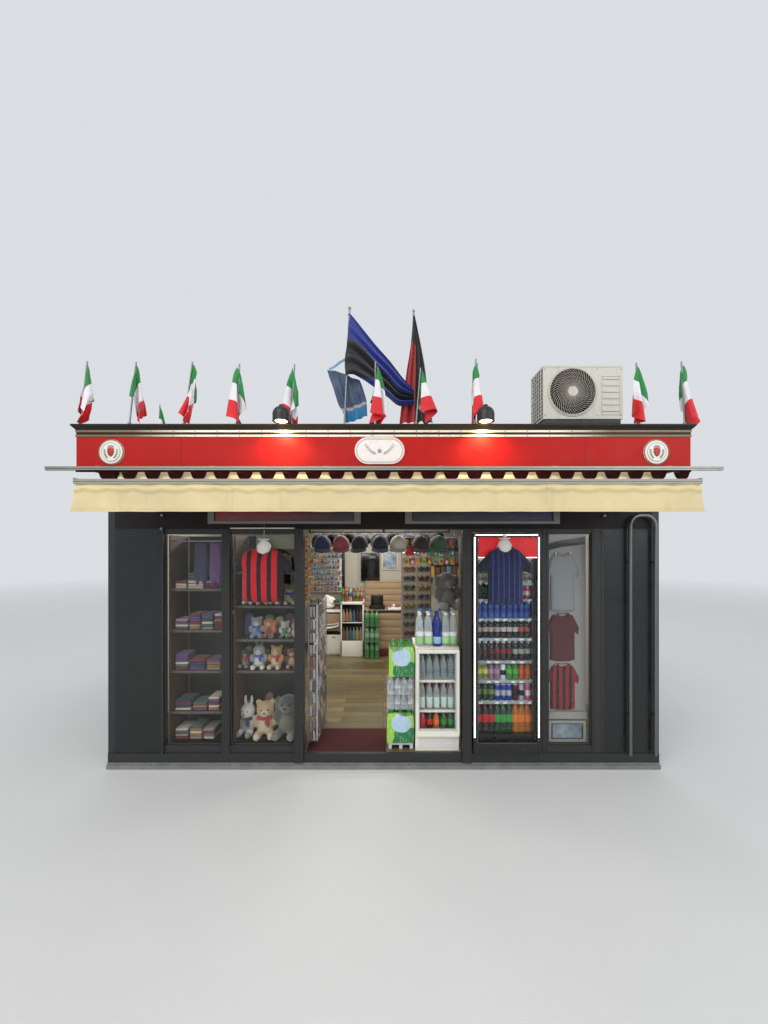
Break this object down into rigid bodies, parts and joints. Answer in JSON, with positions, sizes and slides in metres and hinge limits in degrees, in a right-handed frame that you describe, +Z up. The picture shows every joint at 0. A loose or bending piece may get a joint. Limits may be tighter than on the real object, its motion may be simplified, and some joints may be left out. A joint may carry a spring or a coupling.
{
  "type": "street kiosk",
  "caption": "Street sales hut with a glazed front and open doorway, a wide illuminated fascia box, a fold-out awning, a roof-top cooling unit, flag poles and glass-door drink coolers.",
  "frame": {"origin": "on the ground at the centre of the hut's footprint", "axes": "+Z up, -Y out of the shopfront, +X to the right seen from the front"},
  "size_m": [5.88, 4.817, 4.4121],
  "materials": {
    "base": "matt",
    "floor_wood": "satin oak-look boards",
    "aluminium_strip": "worn extruded strip",
    "sill_paint": "satin",
    "wall_paint": "satin dark sandwich panel",
    "dark_panel": "glossy dark panel",
    "frame_paint": "satin anthracite",
    "clear_glass": "clear",
    "header_paint": "satin dark brown",
    "sign_frame": "satin",
    "white_panel": "satin white",
    "roof_sheet": "matt weathered sheet",
    "fascia_red": "glossy red panel",
    "bronze_paint": "satin dark bronze",
    "trim_white": "pale trim lit from above",
    "plaque_white": "satin white plate",
    "rail_metal": "satin grey",
    "maroon_cloth": "woven acrylic",
    "arm_metal": "satin",
    "cream_cloth": "woven acrylic",
    "bar_paint": "satin light grey",
    "lamp_black": "satin black",
    "ac_beige": "powder coat",
    "dark_plastic": "moulded",
    "coil_fins": "dusty fins",
    "ac_grille_grey": "moulded",
    "galvanised": "galvanised",
    "pole_metal": "painted tube",
    "flag_cloth": "light polyester",
    "tall_flag_cloth": "light polyester",
    "tube_steel": "satin tube",
    "cooler_black": "satin black",
    "shelf_white": "coated wire and plate",
    "cooler_white": "gloss white",
    "counter_oak": "pale oak laminate",
    "shelf_wood": "dark laminate",
    "board_grey": "light grey board",
    "wire_chrome": "plated wire",
    "stand_beige": "beige display",
    "pack_plastic": "shrink-wrapped bottles",
    "mat_fibre": "ribbed fibre mat"
  },
  "bodies": {
    "kiosk": {"base_slab": "base", "floor_boards": "floor_wood", "threshold_strip": "aluminium_strip", "sill_front": "sill_paint", "left_wall": "wall_paint", "right_wall": "wall_paint", "rear_wall": "wall_paint", "front_panel_left": "dark_panel", "front_panel_right": "dark_panel", "shopfront_frame": "frame_paint", "window_rails": "frame_paint", "window_glass": "clear_glass", "front_header": "header_paint", "header_signs": "sign_frame", "soffit": "frame_paint", "ceiling": "white_panel", "roof_deck": "roof_sheet", "fascia_front": "fascia_red", "fascia_sides": "fascia_red", "fascia_rear": "fascia_red", "cornice": "bronze_paint", "trim_strips": "trim_white", "sign_oval": "plaque_white", "sign_badges": "plaque_white", "awning_rail": "rail_metal", "scalloped_valance": "maroon_cloth", "awning_roller": "rail_metal", "awning_arms": "arm_metal", "awning_canopy": "cream_cloth", "awning_front_bar": "bar_paint", "awning_valance": "cream_cloth", "sign_lamps": "lamp_black", "ac_casing": "ac_beige", "ac_motor": "dark_plastic", "ac_coil": "coil_fins", "ac_grille": "ac_grille_grey", "ac_stand": "galvanised", "flag_poles": "pole_metal", "small_flags": "flag_cloth", "tall_flags": "tall_flag_cloth", "tube_guard": "tube_steel", "tall_cooler_cabinet": "cooler_black", "tall_cooler_shelves": "shelf_white", "low_cooler_cabinet": "cooler_white", "low_cooler_shelves": "shelf_white", "counter": "counter_oak", "back_cabinets": "white_panel", "window_shelves": "shelf_wood", "shelf_sides": "shelf_wood", "display_board": "board_grey", "wire_rack": "wire_chrome", "glasses_stand": "stand_beige", "drink_packs": "pack_plastic", "door_mat": "mat_fibre"},
    "ac_rotor": {"ac_fan": "dark_plastic"},
    "tall_door": {"tall_cooler_door": "cooler_black", "tall_cooler_glass": "clear_glass"},
    "low_door": {"low_cooler_door": "cooler_white", "low_cooler_glass": "clear_glass"}
  },
  "joints": [
    {"name": "ac_fan_spin", "type": "hinge", "parent": "kiosk", "child": "ac_rotor", "pos_m": [1.9476, -1.5, 3.642], "axis": [0, 1, 0], "continuous": true},
    {"name": "tall_door_hinge", "type": "hinge", "parent": "kiosk", "child": "tall_door", "pos_m": [1.434, -2.036, 1], "axis": [0, 0, 1], "range_deg": [0, 105]},
    {"name": "low_door_hinge", "type": "hinge", "parent": "kiosk", "child": "low_door", "pos_m": [0.695, -1.982, 0.7], "axis": [0, 0, 1], "range_deg": [0, 100]}
  ]
}
